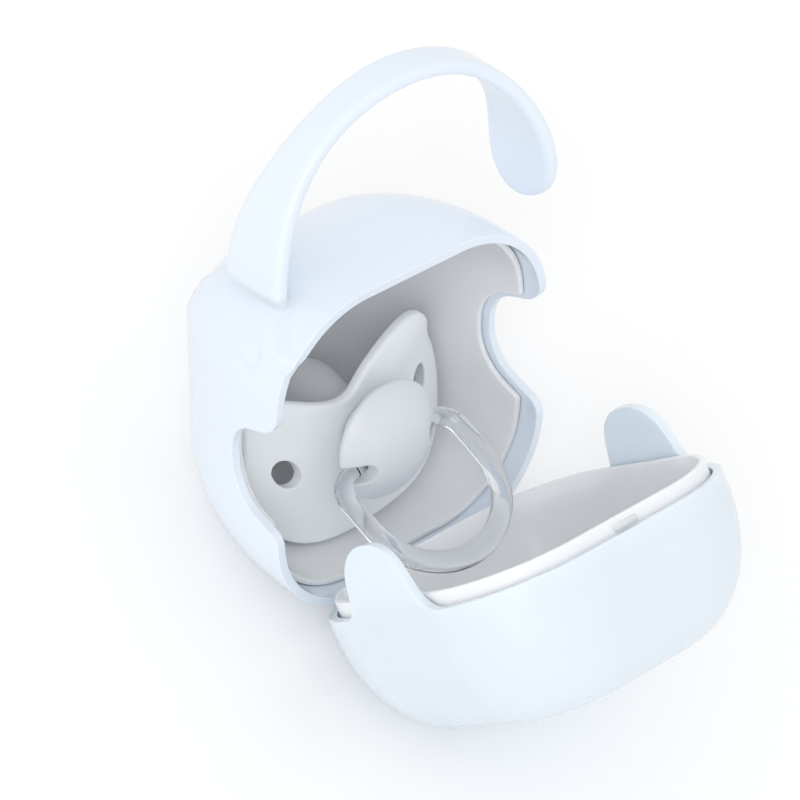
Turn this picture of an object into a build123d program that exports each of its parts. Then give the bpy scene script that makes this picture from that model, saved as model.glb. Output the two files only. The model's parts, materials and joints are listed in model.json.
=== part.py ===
from build123d import *
import os
from math import cos, degrees, radians, sin, sqrt

# Pacifier case: two rounded shells hinged at the bottom, a hook handle, and the pacifier inside.
# Everything is drawn closed and upright, then turned into its resting pose with the lid open.
# Closed frame: X along the hinge, Y from the mouth into the housing, Z up, origin in the mouth.

# Outer form of the closed case
case_width = 65.0
case_height = 69.0
corner_radius = 21.5
housing_depth = 42.0
housing_band = 5.3
housing_inset = 18.7
housing_end_radius = 10.0
lid_depth = 27.0
lid_band = 3.3
lid_inset = 15.0
lid_end_radius = 11.0

# Walls and fits
shell_wall = 1.8
liner_wall = 1.2
housing_seat_gap = 0.15
parting_gap = 0.4
lip_clearance = 0.5
lip_height = 4.0
rabbet_depth = 4.6
catch_width = 5.5
catch_height = 0.2
catch_depth = 1.6

# Ears of the lid, seen from the side
ear_reach = 13.4
ear_top = 12.4
ear_shoulder = 7.6
ear_heel = -6.5
ear_bottom = -10.8
visor_radius = 6.5
ear_upper_radius = 8.0
ear_lower_radius = 9.0
ear_foot_radius = 3.5
notch_step = 1.2

# Hinge
hinge_outset = 4.9
hinge_height = 0.9
knuckle_radius = 2.0
pin_radius = 1.0
pin_clearance = 0.05
lug_width = 10.0
knuckle_width = 5.5
hinge_gap = 0.3
open_angle = 54.0

# Hook handle: one round arc in a plane across the case
strap_back_room = 25.0
strap_centre_x = 9.0
strap_centre_drop = 3.0
strap_radius = 32.0
strap_thickness = 3.0
strap_root_width = 15.0
strap_waist_width = 8.0
strap_paddle_width = 17.0
strap_tip_angle = -12.0
strap_waist_start = 120.0
strap_waist_end = 60.0
strap_edge_radius = 1.2
strap_seat_depth = 0.9

# Shoulder of the handle: a fuller corner of the housing, cut off above a sloping line
shoulder_corner_radius = 18.0
shoulder_edge_radius = 1.2
shoulder_foot_drop = 20.5
shoulder_slope = 7.5
shoulder_crown_drop = 2.5
shoulder_crown_front = 11.5
shoulder_crown_back_room = 18.5
shoulder_back_room = 9.0
shoulder_back_run = 1.0
shoulder_bend = 7.0
shoulder_foot_bend = 1.0

# Pacifier
pacifier_depth = 7.6
pacifier_side = 0.0
pacifier_rise = 26.5
pacifier_pitch = 6.0
pacifier_yaw = 3.0
pacifier_roll = 6.0
knob_radius = 11.8
knob_rim = 0.8
knob_dome = 5.6
guard_setback = 6.5
guard_wall = 2.4
guard_bend_radius = 50.0
guard_side_room = 5.15
guard_widest = 3.5
guard_dip = 9.4
guard_lobe = 12.8
guard_lobe_inset = 9.7
guard_jaw_inset = 7.2
guard_jaw = -18.2
guard_chin = 20.3
guard_edge_radius = 0.8
vent_inset = 7.0
vent_drop = 1.6
vent_width = 4.6
vent_height = 7.2
vent_lean = 25.0
boss_radius = 5.6
fit_clearance = 0.15
ring_half_width = 16.1
ring_length = 27.5
ring_arm = 2.9
ring_side = 3.5
ring_foot = 4.3
ring_thickness = 3.6
ring_shoulder = 6.0
ring_edge_radius = 1.4
ring_stub = 8.2
ring_drop = 1.5
ring_hang = 36.0
trunnion_radius = 1.0
trunnion_length = 3.0
teat_room = 1.35
teat_neck_radius = 5.2
teat_bulb_radius = 7.4
teat_flange_radius = 7.0
teat_flange = 1.2
teat_bore_depth = 6.0
plug_radius = 3.4
plug_inset = 2.0

# Places that follow from the case and its walls
wall_stack = shell_wall + housing_seat_gap + liner_wall
hinge_y = -hinge_outset
hinge_z = -case_height / 2 + hinge_height
strap_centre_z = case_height / 2 - strap_centre_drop
strap_depth = housing_depth - strap_back_room
shoulder_crown = case_height / 2 - shoulder_crown_drop
shoulder_front_rise = shoulder_crown - shoulder_slope
shoulder_foot = case_height / 2 - shoulder_foot_drop
shoulder_crown_back = housing_depth - shoulder_crown_back_room
shoulder_back_end = housing_depth - shoulder_back_room
pacifier_height = pacifier_rise - case_height / 2
guard_half_width = case_width / 2 - wall_stack - guard_side_room
guard_lobe_offset = guard_half_width - guard_lobe_inset
guard_jaw_half_width = guard_half_width - guard_jaw_inset
vent_offset = guard_half_width - vent_inset
teat_length = housing_depth - wall_stack - pacifier_depth - guard_setback - guard_wall - teat_room

# Counts of sections
section_steps = 5
strap_steps = 9


def profile(side, turn):
    """Depth, draw-in and corner radius of the case's cross section, turn degrees round its end."""
    if side > 0:
        depth, band, inset, end_radius = housing_depth, housing_band, housing_inset, housing_end_radius
    else:
        depth, band, inset, end_radius = lid_depth, lid_band, lid_inset, lid_end_radius
    share = 1 - cos(radians(turn))
    y = band + (depth - band) * sin(radians(turn))
    radius = corner_radius - (corner_radius - end_radius) * share
    return side * y, inset * share, radius


def cross_section(y, inset, radius):
    """Rounded rectangle across the case at depth y."""
    plane = Plane(origin=(0, y, 0), x_dir=(1, 0, 0), z_dir=(0, -1, 0))
    return plane * RectangleRounded(case_width - 2 * inset, case_height - 2 * inset, radius)


def case_body(shrink, corner_change=0.0):
    """The closed case as one solid, its skin drawn in everywhere by shrink."""
    faces = []
    turns = [90 * i / section_steps for i in range(section_steps + 1)]
    for side, order in ((-1, reversed(turns)), (1, turns)):
        for turn in order:
            y, inset, radius = profile(side, turn)
            share = abs(y) / (lid_depth if side < 0 else housing_depth)
            y -= side * shrink * share
            faces.append(cross_section(y, inset + shrink, radius - shrink - corner_change))
    return loft(faces)


def lid_region(grow):
    """Side outline of the lid's share of the case with its ears, as a slab across the case."""
    far = case_height
    edge = FilletPolyline(
        (0, far), (0, ear_top), (ear_reach, ear_shoulder), (ear_reach, ear_heel), (0, ear_bottom), (0, -far),
        radius=[visor_radius, ear_upper_radius, ear_lower_radius, ear_foot_radius],
    )
    back = Polyline((0, -far), (-far, -far), (-far, far), (0, far))
    face = make_face(edge.edges() + back.edges())
    if grow > 0:
        face = offset(face, amount=grow)
    return extrude(Plane.YZ * face, amount=case_width, both=True)


def half_space(y, side):
    """A block that fills everything on one side of the depth y."""
    size = 4 * case_height
    return Pos(0, y + side * size / 2, 0) * Box(size, size, size)


def axis_rod(radius, length, x=0.0):
    """A rod on the hinge axis."""
    return Pos(x, hinge_y, hinge_z) * Rot(Y=90) * Cylinder(radius, length)


def make_hinge_lug():
    """The housing's lug: a knuckle and the web that joins it to the bottom wall."""
    bottom = -case_height / 2
    reach = parting_gap + shell_wall
    web = Pos(0, (hinge_y + reach) / 2, bottom + shell_wall / 2) * Box(lug_width, reach - hinge_y, shell_wall)
    lug = axis_rod(knuckle_radius, lug_width) + web
    return lug - axis_rod(pin_radius + pin_clearance, case_width)


def make_housing_shell():
    shell = case_body(0) - case_body(shell_wall) - lid_region(parting_gap)
    shell = shell + make_hinge_lug()
    return shell - strap_form()


def make_housing_liner():
    skin = shell_wall + housing_seat_gap
    liner = case_body(skin) - case_body(skin + liner_wall) - half_space(rabbet_depth, -1)
    return liner - lid_region(parting_gap + notch_step)


def make_lid_shell():
    shell = (case_body(0) - case_body(shell_wall)) & lid_region(0)
    slot_depth = hinge_outset + knuckle_radius + hinge_gap
    slot_width = lug_width + 2 * hinge_gap
    slot = Pos(0, -slot_depth / 2, -case_height / 2) * Box(slot_width, slot_depth, 4 * knuckle_radius)
    shell = shell - slot
    offset_x = lug_width / 2 + hinge_gap + knuckle_width / 2
    for side in (-1, 1):
        shell = shell + axis_rod(knuckle_radius, knuckle_width, side * offset_x)
    return shell - axis_rod(pin_radius + pin_clearance, case_width)


def make_lid_liner():
    skin = shell_wall + lip_clearance
    liner = (case_body(skin) - case_body(skin + liner_wall)) & half_space(lip_height, -1)
    top = case_height / 2 - skin
    catch = Pos(0, lip_height / 2, top) * Box(catch_width, catch_depth, 2 * catch_height)
    catch = fillet(catch.edges().filter_by(Axis.X), 0.9 * catch_height)
    hinge_room = axis_rod(knuckle_radius + hinge_gap, lug_width + 2 * (knuckle_width + 2 * hinge_gap))
    return liner + catch - hinge_room


def make_hinge_pin():
    return axis_rod(pin_radius, lug_width + 2 * (knuckle_width + hinge_gap))


def ease(share):
    """A smooth step from 0 to 1."""
    share = min(max(share, 0.0), 1.0)
    return share * share * (3 - 2 * share)


def strap_width(angle):
    """Width of the hook handle at an angle round its arc, before its tip is rounded."""
    root = ease((angle - strap_waist_start) / (180 - strap_waist_start))
    root *= strap_root_width - strap_waist_width
    paddle_start = strap_tip_angle + degrees(strap_paddle_width / 2 / strap_radius)
    paddle = ease((strap_waist_end - angle) / (strap_waist_end - paddle_start))
    return strap_waist_width + root + (strap_paddle_width - strap_waist_width) * paddle


def strap_section(angle, width):
    """Cross section of the hook handle at an angle round its arc."""
    out = Vector(cos(radians(angle)), 0, sin(radians(angle)))
    along = Vector(sin(radians(angle)), 0, -cos(radians(angle)))
    centre = Vector(strap_centre_x, strap_depth, strap_centre_z) + out * strap_radius
    plane = Plane(origin=centre, x_dir=out, z_dir=along)
    return plane * RectangleRounded(strap_thickness, width, min(strap_edge_radius, 0.45 * width))


def strap_shoulder():
    """The handle's shoulder: a fuller corner of the case under a sloping side outline."""
    outline = FilletPolyline(
        (shoulder_front_rise - shoulder_crown, shoulder_foot),
        (-parting_gap, shoulder_front_rise), (shoulder_crown_front, shoulder_crown),
        (shoulder_crown_back, shoulder_crown), (shoulder_back_end, shoulder_front_rise),
        (shoulder_back_end + shoulder_back_run, shoulder_foot),
        radius=[shoulder_foot_bend] + 4 * [shoulder_bend] + [shoulder_foot_bend], close=True,
    )
    slab = extrude(Plane.YZ * make_face(outline.edges()), amount=-case_width)
    shoulder = case_body(0, corner_radius - shoulder_corner_radius) & slab
    crest = [
        e for e in shoulder.edges()
        if e.center().X < -case_width / 4
        and e.center().Z > shoulder_front_rise - 1 and abs((e % 0.5).Y) > 0.15]
    return fillet(crest, shoulder_edge_radius)


def strap_form():
    """The hook handle: a round arc whose left leg runs down into its shoulder on the housing."""
    faces = []
    leg = shoulder_crown - shoulder_foot
    bottom = strap_section(180, strap_width(180))
    faces.append(Pos(0, 0, -leg) * bottom)
    faces.append(Pos(0, 0, -leg / 2) * bottom)
    tip_turn = degrees(strap_paddle_width / 2 / strap_radius)
    round_start = strap_tip_angle + tip_turn
    for i in range(strap_steps + 1):
        angle = 180 + (round_start - 180) * i / strap_steps
        faces.append(strap_section(angle, strap_width(angle)))
    for turn in (25, 45, 62, 76):
        angle = round_start - tip_turn * sin(radians(turn))
        faces.append(strap_section(angle, strap_paddle_width * cos(radians(turn))))
    return (loft(faces) + strap_shoulder()) - case_body(strap_seat_depth) - lid_region(parting_gap)


def make_pacifier_guard():
    """Shield bent round the face, with a dip for the nose, two vents and the hole for the plug."""
    half = [
        (guard_lobe_offset, guard_lobe),
        (guard_half_width, guard_widest),
        (guard_jaw_half_width, guard_jaw),
    ]
    points = [(0, guard_dip)] + half + [(0, -guard_chin)] + [(-x, z) for x, z in reversed(half)]
    outline = make_face(Spline(*points, periodic=True))
    slab = extrude(Plane.XZ * outline, amount=guard_bend_radius, both=True)
    height = 4 * guard_chin
    sheet = Cylinder(guard_bend_radius, height) - Cylinder(guard_bend_radius - guard_wall, height)
    guard = (Pos(0, guard_setback + guard_bend_radius, 0) * sheet) & slab & half_space(guard_bend_radius, -1)
    guard = fillet(guard.edges(), guard_edge_radius)
    for side in (-1, 1):
        vent = Rot(Z=-vent_lean * side) * Ellipse(vent_width / 2, vent_height / 2)
        vent = Plane.XZ * (Pos(side * vent_offset, -vent_drop) * vent)
        guard = guard - extrude(vent, amount=guard_bend_radius, both=True)
    return guard - Rot(X=90) * Cylinder(plug_radius + fit_clearance, guard_bend_radius)


def sphere_sag(radius, offset):
    """How far a sphere falls away at an offset from its pole."""
    return radius - sqrt(radius ** 2 - offset ** 2)


def make_pacifier_knob():
    """Domed knob on a round boss, with a slot on each side for the ring."""
    dome_sphere = (knob_radius ** 2 + knob_dome ** 2) / (2 * knob_dome)
    middle = knob_radius / 2
    socket = plug_radius + fit_clearance
    boss_end = guard_setback - fit_clearance
    dome = ThreePointArc(
        (0, -knob_dome), (middle, sphere_sag(dome_sphere, middle) - knob_dome), (knob_radius, 0))
    side = Polyline(
        (knob_radius, 0), (knob_radius, knob_rim), (boss_radius, 3 * knob_rim), (boss_radius, boss_end),
        (socket, boss_end), (socket, plug_inset), (0, plug_inset), (0, -knob_dome))
    knob = revolve(make_face(dome.edges() + side.edges()), Axis.Y)
    reach = sqrt((ring_arm / 2) ** 2 + (ring_thickness / 2) ** 2) - 0.4 * ring_edge_radius + 2 * fit_clearance
    slot_middle = ring_stub + reach / 4
    channel = Pos(knob_radius / 2, 0) * Rectangle(knob_radius, 2 * reach)
    slot_face = Pos(slot_middle, 0) * (Circle(reach) + channel)
    for turn in (-1, 1):
        slot = Plane.XZ * (Pos(0, -ring_drop) * Rot(Z=90 - 90 * turn) * slot_face)
        knob = knob - Pos(0, reach, 0) * extrude(slot, amount=knob_dome + 2 * reach)
    hole = Pos(0, 0, -ring_drop) * Rot(Y=90) * Cylinder(trunnion_radius + pin_clearance, 2 * ring_stub)
    core_length = 2 * (ring_stub - trunnion_length - fit_clearance)
    core = Pos(0, 0, -ring_drop) * Box(core_length, 4 * knob_dome, 4 * trunnion_radius)
    return knob - (hole - core)


def teat_start():
    """Depth at which the teat's flange meets the back of the guard."""
    return guard_setback + guard_wall + sphere_sag(guard_bend_radius - guard_wall, teat_flange_radius)


def make_pacifier_plug():
    """Plug from the knob's socket through the guard into the teat's neck."""
    length = teat_start() + teat_bore_depth - plug_inset - 2 * fit_clearance
    return Pos(0, plug_inset + length / 2 + fit_clearance, 0) * Rot(X=90) * Cylinder(plug_radius, length)


def make_pacifier_ring():
    """Clear pull ring with a trunnion at each end, its arms in the knob's slots."""
    inner_half = ring_half_width - ring_side
    top, low = ring_arm / 2, -ring_arm / 2
    foot = ring_foot - ring_length
    outer = FilletPolyline(
        (ring_stub, top), (ring_half_width, top), (ring_half_width, -ring_length),
        (-ring_half_width, -ring_length), (-ring_half_width, top), (-ring_stub, top),
        radius=[ring_shoulder, 0.999 * ring_half_width, 0.999 * ring_half_width, ring_shoulder])
    inner = FilletPolyline(
        (-ring_stub, low), (-inner_half, low), (-inner_half, foot), (inner_half, foot), (inner_half, low),
        (ring_stub, low),
        radius=[ring_shoulder - ring_arm, 0.999 * inner_half, 0.999 * inner_half, ring_shoulder - ring_arm])
    ends = [Line(outer @ 1, inner @ 0), Line(inner @ 1, outer @ 0)]
    face = Plane.XZ * make_face(outer.edges() + inner.edges() + ends)
    ring = extrude(face, amount=ring_thickness / 2, both=True)
    sides = [e for e in ring.edges() if abs((e % 0.5).Y) < 0.5 and e.length > ring_arm * 1.001]
    ring = fillet(sides, ring_edge_radius)
    for side in (-1, 1):
        trunnion = Rot(Y=90) * Cylinder(trunnion_radius, trunnion_length)
        ring = ring + Pos(side * (ring_stub - trunnion_length / 2), 0, 0) * trunnion
    return Pos(0, 0, -ring_drop) * Rot(X=ring_hang - 90) * ring


def make_pacifier_teat():
    """Soft teat with a flange behind the guard and a bore for the plug."""
    start = teat_start()
    end = start + teat_length
    neck_start = start + teat_flange
    bore = plug_radius + fit_clearance
    crown = end - teat_bulb_radius
    slant = teat_bulb_radius * sin(radians(45))
    skin = ThreePointArc((teat_bulb_radius, crown), (slant, crown + slant), (0, end))
    neck = Spline(
        (teat_neck_radius, neck_start), (teat_bulb_radius, crown), tangents=((0, 1), (0, 1)))
    base = Polyline(
        (0, end), (0, start + teat_bore_depth), (bore, start + teat_bore_depth), (bore, start),
        (teat_flange_radius, start), (teat_flange_radius, neck_start), (teat_neck_radius, neck_start))
    return revolve(make_face(skin.edges() + neck.edges() + base.edges()), Axis.Y)


def pacifier_pose():
    return (Pos(pacifier_side, pacifier_depth, pacifier_height)
            * Rot(Z=pacifier_yaw) * Rot(X=-pacifier_pitch) * Rot(Y=-pacifier_roll))


def turned(y, z, angle):
    """A point of the side view turned about the origin."""
    c, s = cos(radians(angle)), sin(radians(angle))
    return c * y - s * z, s * y + c * z


def lowest(points, angle):
    return min(turned(y, z, angle)[1] for y, z in points)


def resting_tilt():
    """Angle at which the open case stands on the housing's back edge and on the lid."""
    housing, lid = [], []
    for i in range(91):
        y, inset, radius = profile(1, i)
        housing.append((y, inset - case_height / 2))
        y, inset, radius = profile(-1, i)
        y, z = turned(y - hinge_y, inset - case_height / 2 - hinge_z, open_angle)
        lid.append((y + hinge_y, z + hinge_z))
    low, high = -45.0, 0.0
    while high - low > 1e-6:
        middle = (low + high) / 2
        if lowest(housing, middle) > lowest(lid, middle):
            high = middle
        else:
            low = middle
    return low, -lowest(housing, low)


tilt, lift = resting_tilt()
housing_pose = Pos(0, 0, lift) * Rot(X=tilt)
lid_pose = housing_pose * Pos(0, hinge_y, hinge_z) * Rot(X=open_angle) * Pos(0, -hinge_y, -hinge_z)
pacifier_place = housing_pose * pacifier_pose()

nodes = {
    "housing_shell": housing_pose * make_housing_shell(),
    "housing_liner": housing_pose * make_housing_liner(),
    "hook_handle": housing_pose * strap_form(),
    "lid_shell": lid_pose * make_lid_shell(),
    "lid_liner": lid_pose * make_lid_liner(),
    "hinge_pin": lid_pose * make_hinge_pin(),
    "pacifier_guard": pacifier_place * make_pacifier_guard(),
    "pacifier_knob": pacifier_place * make_pacifier_knob(),
    "pacifier_plug": pacifier_place * make_pacifier_plug(),
    "pacifier_ring": pacifier_place * make_pacifier_ring(),
    "pacifier_teat": pacifier_place * make_pacifier_teat(),
}

# The row's origin is the bottom centre of the whole open case
whole = Compound(list(nodes.values())).bounding_box()
place = Pos(-whole.center().X, -whole.center().Y, -whole.min.Z)

os.makedirs("parts", exist_ok=True)
for name, shape in nodes.items():
    export_step(place * shape, f"parts/{name}.step")
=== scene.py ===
"""Pacifier case with its lid open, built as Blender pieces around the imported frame."""

import json
import math

import bmesh
import bpy
from mathutils import Matrix, Vector
from mathutils.bvhtree import BVHTree


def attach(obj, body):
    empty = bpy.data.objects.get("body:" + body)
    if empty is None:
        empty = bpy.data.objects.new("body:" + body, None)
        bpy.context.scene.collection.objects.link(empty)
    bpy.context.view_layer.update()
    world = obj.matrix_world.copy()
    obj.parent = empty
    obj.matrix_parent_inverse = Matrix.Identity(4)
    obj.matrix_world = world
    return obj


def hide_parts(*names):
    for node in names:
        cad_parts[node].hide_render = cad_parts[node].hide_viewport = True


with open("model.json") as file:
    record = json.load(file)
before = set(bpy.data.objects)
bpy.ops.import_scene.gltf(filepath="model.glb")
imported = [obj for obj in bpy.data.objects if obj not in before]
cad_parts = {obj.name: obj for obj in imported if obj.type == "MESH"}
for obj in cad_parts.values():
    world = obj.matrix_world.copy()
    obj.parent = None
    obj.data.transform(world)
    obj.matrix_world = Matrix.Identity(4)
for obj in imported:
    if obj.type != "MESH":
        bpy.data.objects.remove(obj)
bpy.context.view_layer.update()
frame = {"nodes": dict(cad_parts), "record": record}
NODES = frame["nodes"]

bl_info = {
    "name": "Pacifier case",
    "version": (1, 0, 0),
    "blender": (4, 5, 0),
    "location": "View3D > Sidebar > Pacifier case",
    "description": "Builds the pieces, finishes and studio of an open pacifier case",
    "category": "Object",
}

MM = 0.001
HOUSING_DEPTH = 42 * MM
LID_DEPTH = 27 * MM


def mount(name):
    """Place and outward axis of one of the record's mounts."""
    entry = next(m for m in frame["record"]["mounts"] if m["name"] == name)
    return Vector(entry["pos_m"]), Vector(entry["axis"]).normalized()


# Properties


def length(name, description, millimetres):
    """A length property with its default in millimetres."""
    return bpy.props.FloatProperty(
        name=name, description=description, subtype="DISTANCE", unit="LENGTH", precision=5,
        default=millimetres * MM)


class ShellSizes(bpy.types.PropertyGroup):
    """Outer form of the closed case, and the walls and rims of its shells and trays."""

    width: length("Width", "Outer width across the hinge", 65)
    height: length("Height", "Outer height of the closed case", 69)
    corner: length("Corner radius", "Corner radius at the mouth", 21.5)
    housing_depth: length("Housing depth", "From the mouth to the housing's back", 42)
    housing_band: length("Housing band", "Straight part of the housing's side", 5.3)
    housing_draw: length("Housing draw-in", "How far the housing's side draws in", 18.7)
    housing_end: length("Housing end radius", "Corner radius at the housing's back", 10)
    lid_depth: length("Lid depth", "From the mouth to the lid's front", 27)
    lid_band: length("Lid band", "Straight part of the lid's side", 3.3)
    lid_draw: length("Lid draw-in", "How far the lid's side draws in", 15)
    lid_end: length("Lid end radius", "Corner radius at the lid's front", 11)
    shell_wall: length("Shell wall", "Wall of the outer shells", 1.8)
    tray_wall: length("Tray wall", "Wall of the inner trays", 1.2)
    parting: length("Parting", "Gap between the housing's rim and the closed lid", 0.4)
    tray_step: length("Tray step", "How far the housing's tray stays back from the notch", 1.2)
    tray_gap: length("Tray gap", "Between the housing and its tray", 0.15)
    tray_set_back: length("Tray set-back", "Depth of the tray's rim in the mouth", 4.6)
    lip_gap: length("Lip gap", "Between the lid and its tray", 0.5)
    lip_height: length("Lip height", "How far the lid's tray stands out of the mouth", 2.7)
    shoulder: length("Shoulder radius", "Fuller corner radius under the hook handle", 18)
    rim_round: length("Rim rounding", "Rounding of the shells' rims", 0.6)


class CaseColours(bpy.types.PropertyGroup):
    """Colours of the plastics."""

    shell: bpy.props.FloatVectorProperty(
        name="Shell", description="Plastic of the housing and the hook handle", subtype="COLOR", size=3,
        min=0, max=1, default=(0.79, 0.86, 0.95))
    lid: bpy.props.FloatVectorProperty(
        name="Lid", description="Plastic of the lid", subtype="COLOR", size=3,
        min=0, max=1, default=(0.75, 0.84, 0.935))
    liner: bpy.props.FloatVectorProperty(
        name="Liner", description="Plastic of the two inner trays", subtype="COLOR", size=3,
        min=0, max=1, default=(0.92, 0.94, 0.97))
    guard: bpy.props.FloatVectorProperty(
        name="Guard", description="Plastic of the pacifier's guard", subtype="COLOR", size=3,
        min=0, max=1, default=(0.90, 0.93, 0.95))
    knob: bpy.props.FloatVectorProperty(
        name="Knob", description="Plastic of the pacifier's knob", subtype="COLOR", size=3,
        min=0, max=1, default=(0.76, 0.79, 0.82))
    ring: bpy.props.FloatVectorProperty(
        name="Ring", description="Clear plastic of the pull ring", subtype="COLOR", size=3,
        min=0, max=1, default=(0.93, 0.95, 0.96))
    # The teat's default colour is a painted shade: it is darker than the trays so that the teat blends into
    # the shade inside the housing.
    teat: bpy.props.FloatVectorProperty(
        name="Teat", description="Silicone of the teat", subtype="COLOR", size=3,
        min=0, max=1, default=(0.66, 0.67, 0.68))


class StudioSizes(bpy.types.PropertyGroup):
    """Camera and light."""

    azimuth: bpy.props.FloatProperty(
        name="Azimuth", description="Camera's turn round the upright case",
        subtype="ANGLE", unit="ROTATION", default=-0.72221)
    elevation: bpy.props.FloatProperty(
        name="Elevation", description="Camera's height over the upright case",
        subtype="ANGLE", unit="ROTATION", default=0.63787)
    roll: bpy.props.FloatProperty(
        name="Roll", description="Camera's roll", subtype="ANGLE", unit="ROTATION", default=0.00787)
    distance: bpy.props.FloatProperty(
        name="Distance", description="From the camera to the mouth of the case",
        subtype="DISTANCE", unit="LENGTH", default=0.7558)
    lens: bpy.props.FloatProperty(
        name="Lens", description="Focal length in millimetres on a 36 mm wide sensor", default=186.7)
    aim_right: bpy.props.FloatProperty(
        name="Aim right", description="How far right of the mouth's middle the camera aims",
        subtype="DISTANCE", unit="LENGTH", default=-0.0029)
    aim_up: bpy.props.FloatProperty(
        name="Aim up", description="How far above the mouth's middle the camera aims",
        subtype="DISTANCE", unit="LENGTH", default=0.0043)
    key_strength: bpy.props.FloatProperty(
        name="Key light", description="Strength of the broad soft light", default=0.46)
    fill_strength: bpy.props.FloatProperty(
        name="World", description="Strength of the light from all round", default=0.93)


# Forms of the shells and trays

# Crest of the handle's shoulder: depth and height in millimetres
SHOULDER_CREST = ((-10, 18), (0, 25.5), (12, 33.5), (23.5, 33.5), (33, 25), (39, 12))
SHOULDER_MELT = 1.8 * MM
# Side outline of the lid with its ear: depth, height and fillet radius in millimetres
EAR_OUTLINE = (
    (0, 80, 0), (0, 12.4, 6.5), (13.4, 7.6, 8), (13.4, -6.5, 9), (0, -10.8, 3.5), (0, -80, 0))
FILLET_STEPS = 6
# Hinge: depth and height of its axis, radius and widths, in millimetres
HINGE = (-4.9, -33.6)
KNUCKLE = 2.0
LUG_WIDTH = 10.0
KNUCKLE_WIDTH = 5.5
HINGE_GAP = 0.3
LUG_END = 2.5
# Half width of the catch, and its corners' depth and height, in millimetres
CATCH = (2.75, (0.3, -0.5), (1.5, 0.25))
# Columns and rows of the shells' grids
CORNER_STEPS = 40
SIDE_STEPS = 64
TOP_STEPS = 12
OUTLINE_SAMPLES = 300
WALL_ROWS = 54
CAP_ROWS = 6
FIRST_ROW = 3 * MM
TRAY_ROUND = 0.4 * MM
EDGE_ROUND = 0.3 * MM


def ear_edge(grow):
    """Depth of the lid's side outline at a height, the outline grown by a gap."""
    trace = []
    points = [Vector((y, z)) * MM for y, z, _ in EAR_OUTLINE]
    for i, (_, _, radius) in enumerate(EAR_OUTLINE):
        if radius == 0:
            trace.append(points[i] + Vector((grow, 0)))
            continue
        back = (points[i - 1] - points[i]).normalized()
        ahead = (points[i + 1] - points[i]).normalized()
        half = back.angle(ahead) / 2
        middle = (back + ahead).normalized()
        centre = points[i] + middle * (radius * MM / math.sin(half))
        sweep = math.pi / 2 - half
        outward = 1 if middle.x > 0 else -1
        for step in range(2 * FILLET_STEPS + 1):
            turn = sweep * (step / FILLET_STEPS - 1) * outward
            spoke = Vector((-middle.x * math.cos(turn) + middle.y * math.sin(turn),
                            -middle.y * math.cos(turn) - middle.x * math.sin(turn)))
            trace.append(centre + spoke * (radius * MM - grow * outward))
    trace.sort(key=lambda point: -point.y)

    def depth(height):
        for upper, lower in zip(trace, trace[1:]):
            if height >= lower.y:
                share = (upper.y - height) / max(upper.y - lower.y, 1e-9)
                return upper.x + (lower.x - upper.x) * min(max(share, 0), 1)
        return trace[-1].x

    return depth


class CaseSkin:
    """The closed case's outer surface drawn in by a margin, in the case's own directions."""

    def __init__(self, sizes, margin):
        self.sizes = sizes
        self.margin = margin

    def side(self, path):
        """Direction and sizes of the housing's side or the lid's, by the sign of a path length."""
        s = self.sizes
        if path > 0:
            return 1, s.housing_depth, s.housing_band, s.housing_draw, s.housing_end
        return -1, s.lid_depth, s.lid_band, s.lid_draw, s.lid_end

    def section(self, path):
        """Depth, draw-in and corner radius of the cross section at a path length from the mouth."""
        sign, depth, band, draw, end = self.side(path)
        turn = max(abs(path) - band, 0) / (depth - band)
        y = min(abs(path), band) + (depth - band) * math.sin(turn)
        share = 1 - math.cos(turn)
        corner = self.sizes.corner
        radius = corner - (corner - end) * share - self.margin
        return y * sign * (1 - self.margin / depth), draw * share + self.margin, radius

    def point(self, place, path):
        """A point at a place round the case (0 to 8) and a path length from the mouth."""
        y, inset, radius = self.section(path)
        halves = (self.sizes.height / 2, self.sizes.width / 2)
        quarter = int(place) // 2 % 4
        out = halves[(quarter + 1) % 2] - inset
        half = halves[quarter % 2] - inset - radius
        outward = Vector((math.cos(math.pi / 2 * quarter), 0, math.sin(math.pi / 2 * quarter)))
        along = Vector((-outward.z, 0, outward.x))
        step = place % 1
        if int(place) % 2 == 0:
            flat = outward * out + along * half * (2 * step - 1)
        else:
            turn = math.pi / 2 * step
            flat = outward * (out - radius + radius * math.cos(turn))
            flat += along * (half + radius * math.sin(turn))
        return flat + Vector((0, y, 0))

    def path_at(self, y):
        """Path length at which the skin has a depth."""
        sign, depth, band, _, _ = self.side(y)
        reach = abs(y) / (1 - self.margin / depth)
        if reach > band:
            reach = band + (depth - band) * math.asin(min((reach - band) / (depth - band), 1))
        return sign * reach

    def rim(self, place, edge):
        """Path length at which the skin meets a rim."""
        path = 0.0
        for _ in range(16):
            path = self.path_at(edge(self.point(place, path)))
        return path

    def end(self, sign):
        """Path length of the middle of the housing's back (1) or the lid's front (-1)."""
        _, depth, band, _, _ = self.side(sign)
        return sign * (band + (depth - band) * math.pi / 2)


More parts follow.
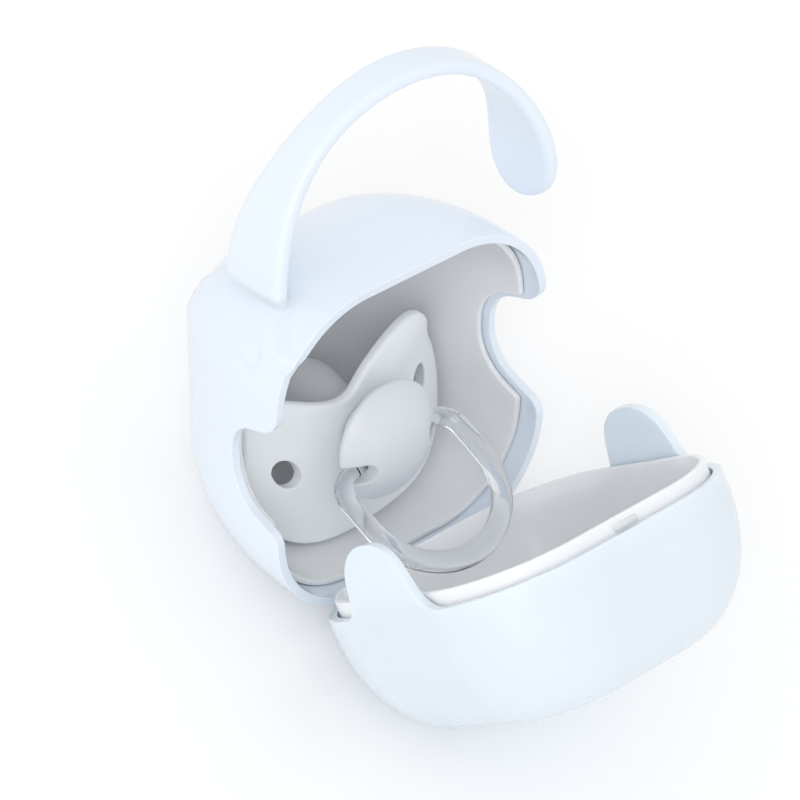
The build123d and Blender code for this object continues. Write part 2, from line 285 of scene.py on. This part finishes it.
def places_round(sizes, depth):
    """Places of the columns round the case, close together where the ear's outline is steep."""
    half = sizes.height / 2 - sizes.corner
    heights = [half - half * i / OUTLINE_SAMPLES for i in range(2 * OUTLINE_SAMPLES + 1)]
    lengths = [0.0]
    for a, b in zip(heights, heights[1:]):
        lengths.append(lengths[-1] + math.hypot(b - a, depth(b) - depth(a)))
    down = []
    mark = 0
    for i in range(SIDE_STEPS):
        while lengths[mark] < lengths[-1] * i / SIDE_STEPS:
            mark += 1
        down.append((1 - heights[mark] / half) / 2)
    up = [1 - share for share in reversed(down[1:] + [1.0])]
    slot = LUG_WIDTH / 2 + HINGE_GAP
    reach = sizes.width / 2 - sizes.corner
    bottom = [-9, -7, -slot - 0.6, -slot, -2.5, 0, 2.5, slot, slot + 0.6, 7, 9]
    bottom = [0] + [(1 + x * MM / reach) / 2 for x in bottom]
    corner = [i / CORNER_STEPS for i in range(CORNER_STEPS)]
    top = [i / TOP_STEPS for i in range(TOP_STEPS)]
    places = []
    for number, shares in enumerate((up, corner, top, corner, down, corner, bottom, corner)):
        places += [number + share for share in shares]
    return places + [8.0]


def shoulder_share(point):
    """Share of the shoulder's bulge at a point of the housing: 1 below the sloping crest, 0 above."""
    if point.x > 0 or point.z < 10 * MM:
        return 0.0
    crest = SHOULDER_CREST[-1][1]
    for (y0, z0), (y1, z1) in zip(SHOULDER_CREST, SHOULDER_CREST[1:]):
        if point.y < y1 * MM:
            crest = z0 + (z1 - z0) * max(point.y / MM - y0, 0) / (y1 - y0)
            break
    share = min(max((crest * MM - point.z) / SHOULDER_MELT, 0), 1)
    return share * share * (3 - 2 * share)


def case_sheet(sizes, margin, edge, sign, frame_matrix, bulge=0.0):
    """A cup of the case's skin from a rim to the end, as one grid bent round the case."""
    skin = CaseSkin(sizes, margin)
    places = places_round(sizes, ear_edge(0.0))
    rims = [skin.rim(place, edge) for place in places]
    end = skin.end(sign)
    rows = WALL_ROWS + CAP_ROWS
    sheet = bmesh.new()
    bmesh.ops.create_grid(sheet, x_segments=len(places) - 1, y_segments=rows, size=1.0)
    first = FIRST_ROW * sign
    for vert in sheet.verts:
        column = round((vert.co.x + 1) / 2 * (len(places) - 1))
        row = round((vert.co.y + 1) / 2 * rows)
        start = rims[column]
        if row == 0:
            path = start
        else:
            path = start + first + (end - start - first) * min((row - 1) / (WALL_ROWS - 1), 1)
        point = skin.point(places[column], path)
        share = shoulder_share(point) if bulge else 0
        if share:
            corner = Vector((bulge - sizes.width / 2, 0, sizes.height / 2 - bulge))
            spoke = Vector((point.x - corner.x, 0, point.z - corner.z))
            _, inset, _ = skin.section(path)
            room = bulge - inset
            if spoke.x < 0 and spoke.z > 0:
                point += spoke * (share * max(room / spoke.length - 1, 0))
            elif spoke.x < 0:
                point.x += share * min(inset - sizes.width / 2 - point.x, 0)
        shrink = 1 - max(row - WALL_ROWS, 0) / CAP_ROWS
        vert.co = (point.x * shrink, point.y, point.z * shrink)
    bmesh.ops.remove_doubles(sheet, verts=sheet.verts, dist=0.01 * MM)
    bmesh.ops.recalc_face_normals(sheet, faces=sheet.faces)
    bmesh.ops.transform(sheet, matrix=frame_matrix, verts=sheet.verts)
    return sheet


# Node groups and materials

PLASTIC_IOR = 1.49
SCATTER_DEPTH = 0.003
BUMP_DISTANCE = 0.0002


def group_socket(group, name, kind, in_out, default=None):
    """Adds one socket to a node group."""
    socket = group.interface.new_socket(name=name, in_out=in_out, socket_type=kind)
    if default is not None:
        socket.default_value = default
    return socket


def link(tree, source, target):
    """Joins two sockets of a node tree."""
    tree.links.new(source, target)


def moulded_surface_group():
    """Node group for moulded plastic: faint waviness, fine grain and a little uneven gloss."""
    name = "Moulded surface"
    if name in bpy.data.node_groups:
        return bpy.data.node_groups[name]
    group = bpy.data.node_groups.new(name, "ShaderNodeTree")
    group_socket(group, "Color", "NodeSocketColor", "INPUT", (0.8, 0.8, 0.8, 1))
    group_socket(group, "Roughness", "NodeSocketFloat", "INPUT", 0.2)
    group_socket(group, "Grain", "NodeSocketFloat", "INPUT", 0.1)
    group_socket(group, "Waviness", "NodeSocketFloat", "INPUT", 0.1)
    group_socket(group, "Color", "NodeSocketColor", "OUTPUT")
    group_socket(group, "Roughness", "NodeSocketFloat", "OUTPUT")
    group_socket(group, "Height", "NodeSocketFloat", "OUTPUT")
    nodes = group.nodes
    inputs = nodes.new("NodeGroupInput")
    outputs = nodes.new("NodeGroupOutput")
    coords = nodes.new("ShaderNodeTexCoord")

    def noise(scale, detail):
        node = nodes.new("ShaderNodeTexNoise")
        node.inputs["Scale"].default_value = scale
        node.inputs["Detail"].default_value = detail
        link(group, coords.outputs["Object"], node.inputs["Vector"])
        return node.outputs["Fac"]

    def maths(operation, first, second):
        node = nodes.new("ShaderNodeMath")
        node.operation = operation
        for socket, value in zip(node.inputs, (first, second)):
            if isinstance(value, (int, float)):
                socket.default_value = value
            else:
                link(group, value, socket)
        return node.outputs[0]

    wave = noise(40.0, 1.0)
    grain = noise(2600.0, 2.0)
    cloud = noise(90.0, 3.0)
    height = maths("ADD", maths("MULTIPLY", wave, inputs.outputs["Waviness"]),
                   maths("MULTIPLY", grain, inputs.outputs["Grain"]))
    link(group, height, outputs.inputs["Height"])
    spread = maths("MULTIPLY", maths("SUBTRACT", cloud, 0.5), 0.12)
    link(group, maths("ADD", inputs.outputs["Roughness"], spread), outputs.inputs["Roughness"])
    shade = nodes.new("ShaderNodeMix")
    shade.data_type = "RGBA"
    shade.blend_type = "MULTIPLY"
    shade.inputs[0].default_value = 1.0
    tone = nodes.new("ShaderNodeMapRange")
    tone.inputs["To Min"].default_value = 0.985
    tone.inputs["To Max"].default_value = 1.015
    link(group, cloud, tone.inputs["Value"])
    link(group, inputs.outputs["Color"], shade.inputs[6])
    link(group, tone.outputs[0], shade.inputs[7])
    link(group, shade.outputs[2], outputs.inputs["Color"])
    return group


def surfaced(name, colour, roughness, grain, waviness, strength):
    """A material whose colour and relief come from the shared surface group."""
    material = bpy.data.materials.new(name)
    material.use_nodes = True
    tree = material.node_tree
    shader = tree.nodes["Principled BSDF"]
    surface = tree.nodes.new("ShaderNodeGroup")
    surface.node_tree = moulded_surface_group()
    surface.inputs["Color"].default_value = (*colour, 1)
    surface.inputs["Roughness"].default_value = roughness
    surface.inputs["Grain"].default_value = grain
    surface.inputs["Waviness"].default_value = waviness
    bump = tree.nodes.new("ShaderNodeBump")
    bump.inputs["Strength"].default_value = strength
    bump.inputs["Distance"].default_value = BUMP_DISTANCE
    link(tree, surface.outputs["Color"], shader.inputs["Base Color"])
    link(tree, surface.outputs["Height"], bump.inputs["Height"])
    link(tree, bump.outputs["Normal"], shader.inputs["Normal"])
    shader.inputs["IOR"].default_value = PLASTIC_IOR
    return material, shader, surface


def plastic(name, colour, roughness, grain=0.05, coat=0.0, subsurface=0.0):
    """A moulded plastic."""
    material, shader, surface = surfaced(name, colour, roughness, grain, 0.1, 0.25)
    link(material.node_tree, surface.outputs["Roughness"], shader.inputs["Roughness"])
    shader.inputs["Coat Weight"].default_value = coat
    shader.inputs["Coat Roughness"].default_value = 0.04
    shader.inputs["Subsurface Weight"].default_value = subsurface
    shader.inputs["Subsurface Radius"].default_value = (1.0, 1.0, 1.0)
    shader.inputs["Subsurface Scale"].default_value = SCATTER_DEPTH
    return material


def clear_plastic(name, colour):
    """A clear plastic."""
    material, shader, _ = surfaced(name, colour, 0.03, 0.0, 0.3, 0.15)
    shader.inputs["Roughness"].default_value = 0.03
    shader.inputs["Transmission Weight"].default_value = 1.0
    return material


def finish_node(name, material):
    """Gives a CAD node its material."""
    slots = NODES[name].material_slots
    if not slots:
        NODES[name].data.materials.append(material)
    for slot in NODES[name].material_slots:
        slot.material = material


# Operators


def case_frame(lid=False):
    """Matrix from the closed case's directions to the housing's or the open lid's place."""
    name, sign, depth = ("lid_front", -1, LID_DEPTH) if lid else ("housing_back", 1, HOUSING_DEPTH)
    place, outward = mount(name)
    inward = outward * sign
    right = Vector((1, 0, 0))
    turned = Matrix((right, inward, right.cross(inward))).transposed()
    return Matrix.Translation(place - outward * depth) @ turned.to_4x4()


# Body and finish slot of each node that a piece stands in for
CARRIERS = {
    "housing_shell": ("housing", "shell_plastic"),
    "housing_liner": ("housing", "liner_plastic"),
    "hook_handle": ("housing", "handle_plastic"),
    "lid_shell": ("lid", "lid_plastic"),
    "lid_liner": ("lid", "liner_plastic"),
    "pacifier_guard": ("pacifier", "guard_plastic"),
    "pacifier_knob": ("pacifier", "knob_plastic"),
    "pacifier_ring": ("ring", "clear_plastic"),
}


def make_piece(name, sheet, material, node):
    """Turns a bmesh into an object that stands in for a CAD node."""
    mesh = bpy.data.meshes.new(name)
    sheet.to_mesh(mesh)
    sheet.free()
    mesh.shade_smooth()
    mesh.materials.append(material)
    piece = bpy.data.objects.new(name, mesh)
    bpy.context.scene.collection.objects.link(piece)
    body, slot = CARRIERS[node]
    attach(piece, body)
    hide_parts(node)
    return piece


def thicken(piece, wall, rounding):
    """Gives a sheet its wall and rounded rims."""
    solid = piece.modifiers.new("Wall", "SOLIDIFY")
    solid.thickness = wall
    solid.offset = -1
    solid.use_even_offset = True
    rim = piece.modifiers.new("Rim", "BEVEL")
    rim.width = rounding
    rim.segments = 4
    rim.limit_method = "ANGLE"
    rim.angle_limit = math.radians(50)
    rim.harden_normals = True


def rod(sheet, centre, radius, width, frame_matrix):
    """Adds a short rod across the case, its ends bevelled."""
    made = bmesh.ops.create_cone(
        sheet, cap_ends=True, segments=32, radius1=radius, radius2=radius, depth=width,
        matrix=frame_matrix @ Matrix.Translation(centre) @ Matrix.Rotation(math.pi / 2, 4, "Y"))
    rims = {e for v in made["verts"] for e in v.link_edges if any(len(f.verts) > 4 for f in e.link_faces)}
    bmesh.ops.bevel(
        sheet, geom=list(rims), offset=EDGE_ROUND, segments=3, profile=0.5, affect="EDGES", material=-1)


def block(sheet, low, high, rounding, frame_matrix):
    """Adds a box between two corners, its edges rounded."""
    size = high - low
    made = bmesh.ops.create_cube(sheet, size=1.0)
    bmesh.ops.scale(sheet, vec=size, verts=made["verts"])
    bmesh.ops.translate(sheet, vec=(low + high) / 2, verts=made["verts"])
    bmesh.ops.transform(sheet, matrix=frame_matrix, verts=made["verts"])
    edges = {e for v in made["verts"] for e in v.link_edges}
    bmesh.ops.bevel(
        sheet, geom=list(edges), offset=rounding, segments=3, profile=0.5, affect="EDGES", material=-1)


def softened(node, name, material, voxel, rounds):
    """A CAD node's own form with soft edges."""
    sheet = bmesh.new()
    sheet.from_mesh(NODES[node].data)
    bmesh.ops.transform(sheet, matrix=NODES[node].matrix_world, verts=sheet.verts)
    bmesh.ops.remove_doubles(sheet, verts=sheet.verts, dist=0.001 * MM)
    piece = make_piece(name, sheet, material, node)
    soften(piece, voxel, rounds)
    return piece


def soften(piece, voxel, rounds):
    """Rounds a piece's edges."""
    remesh = piece.modifiers.new("Remesh", "REMESH")
    remesh.mode = "VOXEL"
    remesh.voxel_size = voxel
    remesh.use_smooth_shade = True
    smooth = piece.modifiers.new("Smooth", "SMOOTH")
    smooth.factor = 0.5
    smooth.iterations = rounds


def bake(piece):
    """Turns a piece's modifiers into its own mesh."""
    graph = bpy.context.evaluated_depsgraph_get()
    mesh = bpy.data.meshes.new_from_object(piece.evaluated_get(graph), depsgraph=graph)
    piece.modifiers.clear()
    piece.data = mesh


class CASE_OT_shells(bpy.types.Operator):
    """Makes the housing and the lid"""

    bl_idname = "case.shells"
    bl_label = "Shells"

    def execute(self, context):
        colours = context.scene.case_colours
        sizes = context.scene.case_shells
        shell = plastic("Housing plastic", colours.shell, roughness=0.16, coat=0.3)
        lid = plastic("Lid plastic", colours.lid, roughness=0.12, coat=0.4, subsurface=0.5)
        self.make_housing(sizes, shell)
        self.make_lid(sizes, lid)
        return {"FINISHED"}

    def make_housing(self, sizes, material):
        ear = ear_edge(sizes.parting)
        matrix = case_frame()
        sheet = case_sheet(sizes, 0.0, lambda point: ear(point.z), 1, matrix, bulge=sizes.shoulder)
        piece = make_piece("housing", sheet, material, "housing_shell")
        thicken(piece, sizes.shell_wall, sizes.rim_round)
        sheet = bmesh.new()
        y, z = HINGE[0] * MM, HINGE[1] * MM
        half = LUG_WIDTH / 2 * MM
        rod(sheet, Vector((0, y, z)), KNUCKLE * MM, LUG_WIDTH * MM, matrix)
        bottom = -sizes.height / 2
        block(sheet, Vector((-half, y, bottom)), Vector((half, LUG_END * MM, bottom + sizes.shell_wall)),
              EDGE_ROUND, matrix)
        make_piece("hinge_lug", sheet, material, "housing_shell")

    def make_lid(self, sizes, material):
        ear = ear_edge(0.0)
        slot = (LUG_WIDTH / 2 + HINGE_GAP) * MM
        slot_depth = (HINGE[0] - KNUCKLE - HINGE_GAP) * MM

        def edge(point):
            if point.z < -sizes.height / 4 and abs(point.x) < slot + 0.05 * MM:
                return slot_depth
            return ear(point.z)

        matrix = case_frame(lid=True)
        sheet = case_sheet(sizes, 0.0, edge, -1, matrix)
        piece = make_piece("lid", sheet, material, "lid_shell")
        thicken(piece, sizes.shell_wall, sizes.rim_round)
        sheet = bmesh.new()
        offset = (LUG_WIDTH / 2 + HINGE_GAP + KNUCKLE_WIDTH / 2) * MM
        for side in (-1, 1):
            centre = Vector((side * offset, HINGE[0] * MM, HINGE[1] * MM))
            rod(sheet, centre, KNUCKLE * MM, KNUCKLE_WIDTH * MM, matrix)
        make_piece("lid_knuckles", sheet, material, "lid_shell")


class CASE_OT_trays(bpy.types.Operator):
    """Makes the two inner trays and the hinge pin's finish"""

    bl_idname = "case.trays"
    bl_label = "Trays"

    def execute(self, context):
        sizes = context.scene.case_shells
        liner = plastic(
            "Liner plastic", context.scene.case_colours.liner, roughness=0.24, grain=0.15, subsurface=0.5)
        finish_node("hinge_pin", liner)
        ear = ear_edge(sizes.parting + sizes.tray_step)
        margin = sizes.shell_wall + sizes.tray_gap
        sheet = case_sheet(
            sizes, margin, lambda point: max(sizes.tray_set_back, ear(point.z)), 1, case_frame())
        tray = make_piece("housing_tray", sheet, liner, "housing_liner")
        thicken(tray, sizes.tray_wall, TRAY_ROUND)
        margin = sizes.shell_wall + sizes.lip_gap
        matrix = case_frame(lid=True)
        sheet = case_sheet(sizes, margin, lambda point: sizes.lip_height, -1, matrix)
        dish = make_piece("lid_tray", sheet, liner, "lid_liner")
        thicken(dish, sizes.tray_wall, TRAY_ROUND)
        sheet = bmesh.new()
        top = Vector((0, 0, sizes.height / 2 - margin))
        half, low, high = CATCH
        block(sheet, top + Vector((-half, *low)) * MM, top + Vector((half, *high)) * MM,
              EDGE_ROUND / 2, matrix)
        make_piece("lid_catch", sheet, liner, "lid_liner")
        return {"FINISHED"}


# Height of the cut through the handle's leg and depth of the leg's middle, in millimetres
ROOT_CUT = 32.6
ROOT_DEPTH = 17
# Rings below the cut: drop in mm, share of the skin's place, mm further out
FLARE_RINGS = ((1.2, 0.3, 0.2), (1.4, 0.6, 0.2), (1.8, 0.9, 0.1), (2.2, 1, 0), (3, 1, -0.6))
RING_GROWTH = 1.07
SKIN_FOLLOW = 0.35
MELT_REACH = 3 * MM


class CASE_OT_handle(bpy.types.Operator):
    """Makes the hook handle with its shoulder"""

    bl_idname = "case.handle"
    bl_label = "Hook handle"

    def execute(self, context):
        sheet = bmesh.new()
        sheet.from_mesh(NODES["hook_handle"].data)
        matrix = case_frame()
        bmesh.ops.transform(
            sheet, matrix=matrix.inverted() @ NODES["hook_handle"].matrix_world, verts=sheet.verts)
        bmesh.ops.remove_doubles(sheet, verts=sheet.verts, dist=0.001 * MM)
        self.flare_root(context.scene.case_shells, sheet)
        bmesh.ops.transform(sheet, matrix=matrix, verts=sheet.verts)
        piece = make_piece("handle", sheet, bpy.data.materials["Housing plastic"], "hook_handle")
        soften(piece, 0.35 * MM, 10)
        bake(piece)
        self.melt_root(piece, bpy.data.objects["housing"])
        return {"FINISHED"}

    def melt_root(self, leg, housing):
        """Lets the housing's normals run on into the leg's root."""
        tree = BVHTree.FromObject(housing, bpy.context.evaluated_depsgraph_get())
        group = leg.vertex_groups.new(name="root")
        for vert in leg.data.vertices:
            distance = tree.find_nearest(vert.co, MELT_REACH)[3]
            if distance is not None:
                share = 1 - distance / MELT_REACH
                group.add([vert.index], share * share * (3 - 2 * share), "REPLACE")
        melt = leg.modifiers.new("Melt", "DATA_TRANSFER")
        melt.object = housing
        melt.use_loop_data = True
        melt.data_types_loops = {"CUSTOM_NORMAL"}
        melt.loop_mapping = "POLYINTERP_NEAREST"
        melt.vertex_group = group.name

    def flare_root(self, sizes, sheet):
        """Cuts the leg off above its shoulder and flares it into the housing's skin."""
        faces = [face for face in sheet.faces if face.calc_center_median().x < 0]
        edges = {edge for face in faces for edge in face.edges}
        parts = faces + list(edges) + list({vert for edge in edges for vert in edge.verts})
        bmesh.ops.bisect_plane(
            sheet, geom=parts, plane_co=Vector((0, 0, ROOT_CUT)) * MM, plane_no=(0, 0, -1), clear_outer=True)
        rim = [edge for edge in sheet.edges if edge.is_boundary]
        middle = Vector((0, ROOT_DEPTH, 0)) * MM
        face = min(vert.co.x for edge in rim for vert in edge.verts)
        skin = CaseSkin(sizes, 0.0)
        height = ROOT_CUT * MM
        for drop, melt, proud in FLARE_RINGS:
            made = bmesh.ops.extrude_edge_only(sheet, edges=rim)["geom"]
            verts = [part for part in made if isinstance(part, bmesh.types.BMVert)]
            rim = [part for part in made if isinstance(part, bmesh.types.BMEdge) and part.is_boundary]
            bmesh.ops.scale(sheet, vec=(1, RING_GROWTH, 1), space=Matrix.Translation(-middle), verts=verts)
            height -= drop * MM
            level = self.skin_face(sizes, skin, middle.y, height)
            last, face = face, level * melt + (1 - melt) * face
            for vert in verts:
                local = self.skin_face(sizes, skin, vert.co.y, height) - level
                vert.co.x += face - last - proud * MM + local * melt * SKIN_FOLLOW
                vert.co.z = height
        bmesh.ops.contextual_create(sheet, geom=rim)

    def skin_face(self, sizes, skin, depth, height):
        """Where the shoulder's skin lies at a depth and height."""
        _, inset, _ = skin.section(skin.path_at(depth))
        rise = height - (sizes.height / 2 - sizes.shoulder)
        return sizes.shoulder - sizes.width / 2 - math.sqrt(max((sizes.shoulder - inset) ** 2 - rise ** 2, 0))


# Guard: its middle in the case in millimetres, and its turns in degrees
GUARD_PLACE = (0, 7.6, -8)
GUARD_TURNS = (("Z", 3), ("X", -6), ("Y", -6))
# Lobes: height where they start, run to full effect, place across, inner and outer half width (mm)
LOBE_START = 3
LOBE_RUN = 8
LOBE_PLACE = 12
LOBE_WIDTHS = (12, 18)
# How far the lobes move up and out (mm), and how much more the one on the handle's side rises
LOBE_RISE = 2.6
LOBE_SPREAD = 5
LOBE_TILT = 0.1


class CASE_OT_pacifier(bpy.types.Operator):
    """Makes the pacifier"""

    bl_idname = "case.pacifier"
    bl_label = "Pacifier"

    def execute(self, context):
        colours = context.scene.case_colours
        guard = plastic("Guard plastic", colours.guard, roughness=0.34, grain=0.2)
        piece = softened("pacifier_guard", "guard", guard, 0.22 * MM, 6)
        bake(piece)
        self.shape_lobes(piece.data)
        knob = plastic("Knob plastic", colours.knob, roughness=0.33, grain=0.1)
        softened("pacifier_knob", "knob", knob, 0.18 * MM, 6)
        finish_node("pacifier_plug", knob)
        ring = clear_plastic("Clear ring plastic", colours.ring)
        softened("pacifier_ring", "ring", ring, 0.16 * MM, 10)
        # The teat's colour is a painted shade, darkened to match the shade round it inside the housing.
        teat = plastic("Teat silicone painted shade", colours.teat, roughness=0.3, grain=0.1, subsurface=0.5)
        finish_node("pacifier_teat", teat)
        return {"FINISHED"}

    def shape_lobes(self, mesh):
        """Draws the guard's two upper lobes up and outwards."""
        turned = Matrix.Identity(4)
        for axis, degrees in GUARD_TURNS:
            turned = turned @ Matrix.Rotation(math.radians(degrees), 4, axis)
        matrix = case_frame() @ Matrix.Translation(Vector(GUARD_PLACE) * MM) @ turned
        back = matrix.inverted()
        sheet = bmesh.new()
        sheet.from_mesh(mesh)
        for vert in sheet.verts:
            point = back @ vert.co
            share = min(max((point.z - LOBE_START * MM) / (LOBE_RUN * MM), 0), 1)
            share *= share * (3 - 2 * share)
            out = abs(point.x) - LOBE_PLACE * MM
            spread = math.cos(math.pi / 2 * min(abs(out) / (LOBE_WIDTHS[out >= 0] * MM), 1)) ** 2
            point.z += (LOBE_RISE * MM * spread - LOBE_TILT * point.x) * share
            point.x += math.copysign(LOBE_SPREAD * MM * share * spread, point.x)
            vert.co = matrix @ point
        sheet.to_mesh(mesh)
        sheet.free()


# Floor: half its side in metres, its albedo, and the light added to it for the camera
FLOOR_HALF = 3.0
FLOOR_ALBEDO = 0.9
FLOOR_LIFT = 0.08
# Soft lights: name, direction, apparent size in degrees and share of the key's strength
LAMPS = (("key", (-0.55, -0.45, 0.7), 24, 1.0), ("side", (-0.9, -0.5, 0.25), 50, 0.6))
SENSOR = 36.0


class CASE_OT_studio(bpy.types.Operator):
    """Makes the floor, the light and the camera"""

    bl_idname = "case.studio"
    bl_label = "Studio"

    def execute(self, context):
        sizes = context.scene.case_studio
        self.make_floor()
        self.make_world(sizes)
        self.make_camera(context, sizes)
        return {"FINISHED"}

    def make_floor(self):
        sheet = bmesh.new()
        bmesh.ops.create_grid(sheet, x_segments=1, y_segments=1, size=FLOOR_HALF)
        mesh = bpy.data.meshes.new("floor")
        sheet.to_mesh(mesh)
        sheet.free()
        floor = bpy.data.objects.new("floor", mesh)
        bpy.context.scene.collection.objects.link(floor)
        material = bpy.data.materials.new("Floor paper")
        material.use_nodes = True
        tree = material.node_tree
        shader = tree.nodes["Principled BSDF"]
        shader.inputs["Base Color"].default_value = (FLOOR_ALBEDO, FLOOR_ALBEDO, FLOOR_ALBEDO, 1)
        shader.inputs["Roughness"].default_value = 0.9
        shader.inputs["Specular IOR Level"].default_value = 0.0
        path = tree.nodes.new("ShaderNodeLightPath")
        seen = tree.nodes.new("ShaderNodeMath")
        seen.operation = "MULTIPLY"
        seen.inputs[1].default_value = FLOOR_LIFT
        link(tree, path.outputs["Is Camera Ray"], seen.inputs[0])
        shader.inputs["Emission Color"].default_value = (1, 1, 1, 1)
        link(tree, seen.outputs[0], shader.inputs["Emission Strength"])
        mesh.materials.append(material)

    def make_world(self, sizes):
        world = bpy.data.worlds.new("Studio")
        bpy.context.scene.world = world
        world.use_nodes = True
        tree = world.node_tree
        background = tree.nodes["Background"]
        background.inputs["Color"].default_value = (1, 1, 1, 1)
        path = tree.nodes.new("ShaderNodeLightPath")
        seen = tree.nodes.new("ShaderNodeMath")
        seen.operation = "MAXIMUM"
        link(tree, path.outputs["Is Camera Ray"], seen.inputs[0])
        link(tree, path.outputs["Is Transmission Ray"], seen.inputs[1])
        mix = tree.nodes.new("ShaderNodeMix")
        mix.inputs[2].default_value = sizes.fill_strength
        mix.inputs[3].default_value = 1.0
        link(tree, seen.outputs[0], mix.inputs[0])
        link(tree, mix.outputs[0], background.inputs["Strength"])
        for name, offset, spread, share in LAMPS:
            lamp = bpy.data.lights.new(name, "SUN")
            lamp.angle = math.radians(spread)
            lamp.energy = sizes.key_strength * share
            holder = bpy.data.objects.new(name, lamp)
            bpy.context.scene.collection.objects.link(holder)
            holder.rotation_euler = (-Vector(offset)).to_track_quat("-Z", "Y").to_euler()

    def make_camera(self, context, sizes):
        matrix = case_frame()
        centre = matrix.translation
        right, depth, up = (matrix.col[i].to_3d() for i in range(3))
        turn, rise, roll = sizes.azimuth, sizes.elevation, sizes.roll
        back = (right * math.sin(turn) - depth * math.cos(turn)) * math.cos(rise) + up * math.sin(rise)
        side = right * math.cos(turn) + depth * math.sin(turn)
        top = back.cross(side)
        view_right = side * math.cos(roll) + top * math.sin(roll)
        view_up = top * math.cos(roll) - side * math.sin(roll)
        aim = centre + view_right * sizes.aim_right + view_up * sizes.aim_up
        place = aim + back * sizes.distance
        lens = bpy.data.cameras.new("camera")
        lens.sensor_width = SENSOR
        lens.lens = sizes.lens
        lens.clip_start = 0.05
        camera = bpy.data.objects.new("camera", lens)
        context.scene.collection.objects.link(camera)
        turned = Matrix((view_right, view_up, back)).transposed()
        camera.matrix_world = Matrix.Translation(place) @ turned.to_4x4()
        context.scene.camera = camera


class CASE_PT_panel(bpy.types.Panel):
    """Sidebar panel that lists the building steps"""

    bl_idname = "CASE_PT_panel"
    bl_label = "Pacifier case"
    bl_space_type = "VIEW_3D"
    bl_region_type = "UI"
    bl_category = "Pacifier case"

    def draw(self, context):
        for operator in STEPS:
            self.layout.operator(operator.bl_idname)
        for group in (context.scene.case_shells, context.scene.case_colours, context.scene.case_studio):
            for name in group.__annotations__:
                self.layout.prop(group, name)


STEPS = (CASE_OT_shells, CASE_OT_trays, CASE_OT_handle, CASE_OT_pacifier, CASE_OT_studio)
CLASSES = (ShellSizes, CaseColours, StudioSizes, *STEPS, CASE_PT_panel)


def register():
    for cls in CLASSES:
        bpy.utils.register_class(cls)
    bpy.types.Scene.case_shells = bpy.props.PointerProperty(type=ShellSizes)
    bpy.types.Scene.case_colours = bpy.props.PointerProperty(type=CaseColours)
    bpy.types.Scene.case_studio = bpy.props.PointerProperty(type=StudioSizes)


def unregister():
    del bpy.types.Scene.case_studio
    del bpy.types.Scene.case_colours
    del bpy.types.Scene.case_shells
    for cls in reversed(CLASSES):
        bpy.utils.unregister_class(cls)


def main():
    register()
    bpy.ops.case.shells()
    bpy.ops.case.trays()
    bpy.ops.case.handle()
    bpy.ops.case.pacifier()
    bpy.ops.case.studio()
    bpy.context.scene.view_settings.view_transform = "Standard"


if __name__ == "__main__":
    main()
